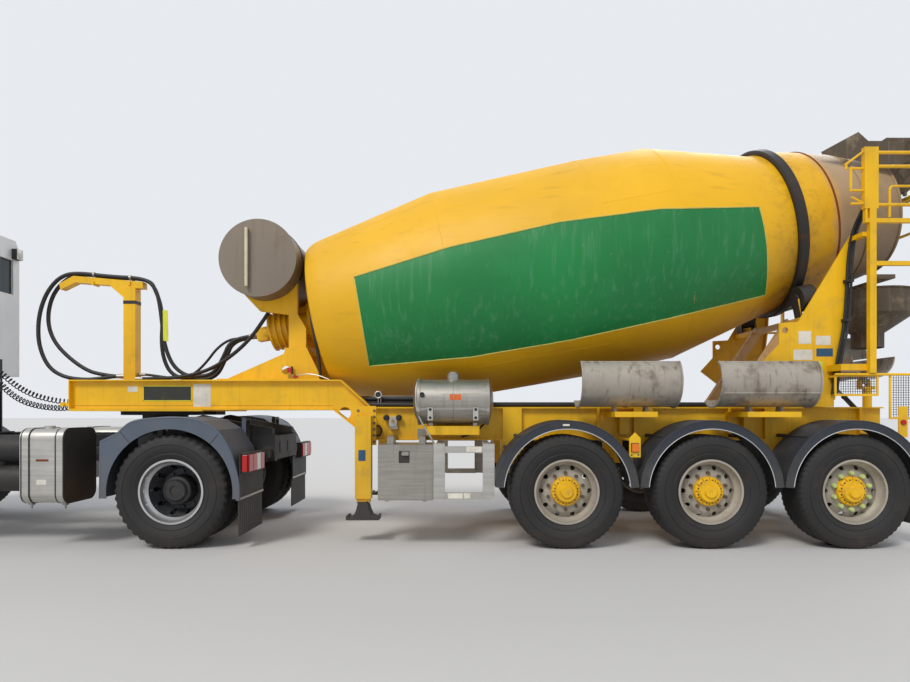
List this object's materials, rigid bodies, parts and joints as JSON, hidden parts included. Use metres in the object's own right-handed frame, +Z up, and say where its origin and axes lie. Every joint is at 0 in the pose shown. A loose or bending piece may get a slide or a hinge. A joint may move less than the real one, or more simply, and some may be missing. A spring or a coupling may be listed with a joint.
{
  "type": "articulated concrete mixer truck",
  "caption": "Tractor unit coupled to a semi-trailer with a tilted revolving mixing drum, charging hopper, discharge chute, water tank, steerable front wheels and a tilting cab.",
  "frame": {"origin": "centre of the footprint on the floor, halfway along the vehicle", "axes": "+Z up, the vehicle heads along -X, +Y is its right-hand side"},
  "size_m": [12.5998, 2.94, 4.0723],
  "materials": {
    "yellow_paint": "semi-gloss",
    "drum_paint": "satin, weathered",
    "white_paint": "gloss",
    "dark_paint": "satin",
    "guard_plastic": "matte",
    "stainless": "brushed, dirty",
    "raw_steel": "dull, worn",
    "alu": "satin",
    "cast": "rough",
    "tyre_rubber": "matte",
    "hose_rubber": "satin",
    "window": "clear",
    "trim": "matte"
  },
  "bodies": {
    "trailer": {"trailer_frame": "yellow_paint", "landing_legs": "yellow_paint", "running_gear": "dark_paint", "mudguards_left": "guard_plastic", "mudguards_right": "guard_plastic", "toolbox": "stainless", "side_guards": "alu", "air_tank": "stainless", "front_pedestal": "yellow_paint", "gearbox": "yellow_paint", "water_tank": "stainless", "hose_gantry": "yellow_paint", "hose_1": "hose_rubber", "hose_2": "hose_rubber", "hose_3": "hose_rubber", "water_hose": "hose_rubber", "air_line_1": "hose_rubber", "air_line_2": "hose_rubber", "rear_pedestal": "yellow_paint", "rear_platform": "yellow_paint", "hopper": "raw_steel", "collector": "raw_steel", "stored_chutes": "stainless", "rear_bumper": "dark_paint"},
    "toolbox_door": {"toolbox_door": "stainless"},
    "drum": {"drum": "drum_paint", "drum_blades": "raw_steel", "drum_ring": "cast"},
    "roller_left": {"roller_left": "cast"},
    "roller_right": {"roller_right": "cast"},
    "chute_swivel": {"chute_swivel": "yellow_paint"},
    "chute": {"chute": "raw_steel"},
    "chute_tip": {"chute_tip": "raw_steel"},
    "chute_cylinder": {"chute_cylinder": "dark_paint"},
    "chute_rod": {"chute_rod": "stainless"},
    "tractor": {"tractor_frame": "dark_paint", "fifth_wheel": "cast", "engine": "cast", "tractor_axles": "cast", "fuel_tank": "alu", "tractor_mudguards": "guard_plastic", "bumper": "white_paint"},
    "knuckle_left": {"knuckle_l": "cast"},
    "knuckle_right": {"knuckle_r": "cast"},
    "wheel_front_left": {"wheel_fl": "tyre_rubber"},
    "wheel_front_right": {"wheel_fr": "tyre_rubber"},
    "twin_left": {"twin_wheels_l": "tyre_rubber"},
    "twin_right": {"twin_wheels_r": "tyre_rubber"},
    "cab": {"cab_shell": "white_paint", "cab_glass": "window", "cab_trim": "trim", "cab_interior": "trim"},
    "door_left": {"door_l": "white_paint"},
    "door_right": {"door_r": "white_paint"},
    "wheel_1_left": {"wheel_1l": "tyre_rubber"},
    "wheel_1_right": {"wheel_1r": "tyre_rubber"},
    "wheel_2_left": {"wheel_2l": "tyre_rubber"},
    "wheel_2_right": {"wheel_2r": "tyre_rubber"},
    "wheel_3_left": {"wheel_3l": "tyre_rubber"},
    "wheel_3_right": {"wheel_3r": "tyre_rubber"}
  },
  "joints": [
    {"name": "wheel_1_left_spin", "type": "hinge", "parent": "trailer", "child": "wheel_1_left", "pos_m": [2.29813, -1.0575, 0.52], "axis": [0, 1, 0], "continuous": true},
    {"name": "wheel_1_right_spin", "type": "hinge", "parent": "trailer", "child": "wheel_1_right", "pos_m": [2.29813, 1.0575, 0.52], "axis": [0, 1, 0], "continuous": true},
    {"name": "wheel_2_left_spin", "type": "hinge", "parent": "trailer", "child": "wheel_2_left", "pos_m": [3.60813, -1.0575, 0.52], "axis": [0, 1, 0], "continuous": true},
    {"name": "wheel_2_right_spin", "type": "hinge", "parent": "trailer", "child": "wheel_2_right", "pos_m": [3.60813, 1.0575, 0.52], "axis": [0, 1, 0], "continuous": true},
    {"name": "wheel_3_left_spin", "type": "hinge", "parent": "trailer", "child": "wheel_3_left", "pos_m": [4.91814, -1.0575, 0.52], "axis": [0, 1, 0], "continuous": true},
    {"name": "wheel_3_right_spin", "type": "hinge", "parent": "trailer", "child": "wheel_3_right", "pos_m": [4.91814, 1.0575, 0.52], "axis": [0, 1, 0], "continuous": true},
    {"name": "drum_spin", "type": "hinge", "parent": "trailer", "child": "drum", "pos_m": [-0.13786, 0, 2.24], "axis": [0.981, 0, 0.1942], "continuous": true},
    {"name": "roller_left_spin", "type": "hinge", "parent": "trailer", "child": "roller_left", "pos_m": [4.77746, -0.63432, 2.38561], "axis": [0.981, 0, 0.1942], "continuous": true},
    {"name": "roller_right_spin", "type": "hinge", "parent": "trailer", "child": "roller_right", "pos_m": [4.77746, 0.63432, 2.38561], "axis": [0.981, 0, 0.1942], "continuous": true},
    {"name": "toolbox_door_hinge", "type": "hinge", "parent": "trailer", "child": "toolbox_door", "pos_m": [0.58213, -1.217, 0.443], "axis": [1, 0, 0], "range_deg": [0, 95]},
    {"name": "chute_swing", "type": "hinge", "parent": "trailer", "child": "chute_swivel", "pos_m": [5.83486, 0, 1.1], "axis": [0, 0, 1], "range_deg": [-150, 0]},
    {"name": "chute_tilt", "type": "hinge", "parent": "chute_swivel", "child": "chute", "pos_m": [5.83486, 0.06, 1.59], "axis": [-1, 0, 0], "range_deg": [0, 35]},
    {"name": "chute_fold", "type": "hinge", "parent": "chute", "child": "chute_tip", "pos_m": [5.83486, 1.01, 1.858], "axis": [-1, 0, 0], "range_deg": [0, 180]},
    {"name": "chute_cylinder_swing", "type": "hinge", "parent": "chute_swivel", "child": "chute_cylinder", "pos_m": [5.83486, 0.15, 1.25], "axis": [-1, 0, 0], "range_deg": [-1, 36]},
    {"name": "chute_rod_slide", "type": "slide", "parent": "chute_cylinder", "child": "chute_rod", "axis": [0, 0.8255, 0.5644], "range_m": [-0.215, 0.002]},
    {"name": "articulation", "type": "hinge", "parent": "trailer", "child": "tractor", "pos_m": [-1.89986, 0, 1.25], "axis": [0, 0, 1], "range_deg": [-70, 70]},
    {"name": "steer_left", "type": "hinge", "parent": "tractor", "child": "knuckle_left", "pos_m": [-4.89987, -1.0005, 0.52], "axis": [0, 0, 1], "range_deg": [-35, 35]},
    {"name": "steer_right", "type": "hinge", "parent": "tractor", "child": "knuckle_right", "pos_m": [-4.89987, 1.0005, 0.52], "axis": [0, 0, 1], "range_deg": [-35, 35]},
    {"name": "wheel_front_left_spin", "type": "hinge", "parent": "knuckle_left", "child": "wheel_front_left", "pos_m": [-4.89987, -1.0805, 0.52], "axis": [0, 1, 0], "continuous": true},
    {"name": "wheel_front_right_spin", "type": "hinge", "parent": "knuckle_right", "child": "wheel_front_right", "pos_m": [-4.89987, 1.0805, 0.52], "axis": [0, 1, 0], "continuous": true},
    {"name": "twin_left_spin", "type": "hinge", "parent": "tractor", "child": "twin_left", "pos_m": [-1.29987, -0.932, 0.52], "axis": [0, 1, 0], "continuous": true},
    {"name": "twin_right_spin", "type": "hinge", "parent": "tractor", "child": "twin_right", "pos_m": [-1.29987, 0.932, 0.52], "axis": [0, 1, 0], "continuous": true},
    {"name": "cab_tilt", "type": "hinge", "parent": "tractor", "child": "cab", "pos_m": [-6.22987, 0, 1.06], "axis": [0, -1, 0], "range_deg": [0, 60]},
    {"name": "door_left_hinge", "type": "hinge", "parent": "cab", "child": "door_left", "pos_m": [-5.96687, -1.232, 1.8], "axis": [0, 0, -1], "range_deg": [0, 70]},
    {"name": "door_right_hinge", "type": "hinge", "parent": "cab", "child": "door_right", "pos_m": [-5.96687, 1.232, 1.8], "axis": [0, 0, 1], "range_deg": [0, 70]}
  ],
  "couplings": [
    {"joint": "steer_right", "follows": "steer_left", "ratio": 1},
    {"joint": "roller_left_spin", "follows": "drum_spin", "ratio": -6.9231},
    {"joint": "roller_right_spin", "follows": "drum_spin", "ratio": -6.9231},
    {"joint": "chute_cylinder_swing", "follows": "chute_tilt", "ratio": 0.9679},
    {"joint": "chute_rod_slide", "follows": "chute_tilt", "m_per_rad": -0.34593}
  ]
}
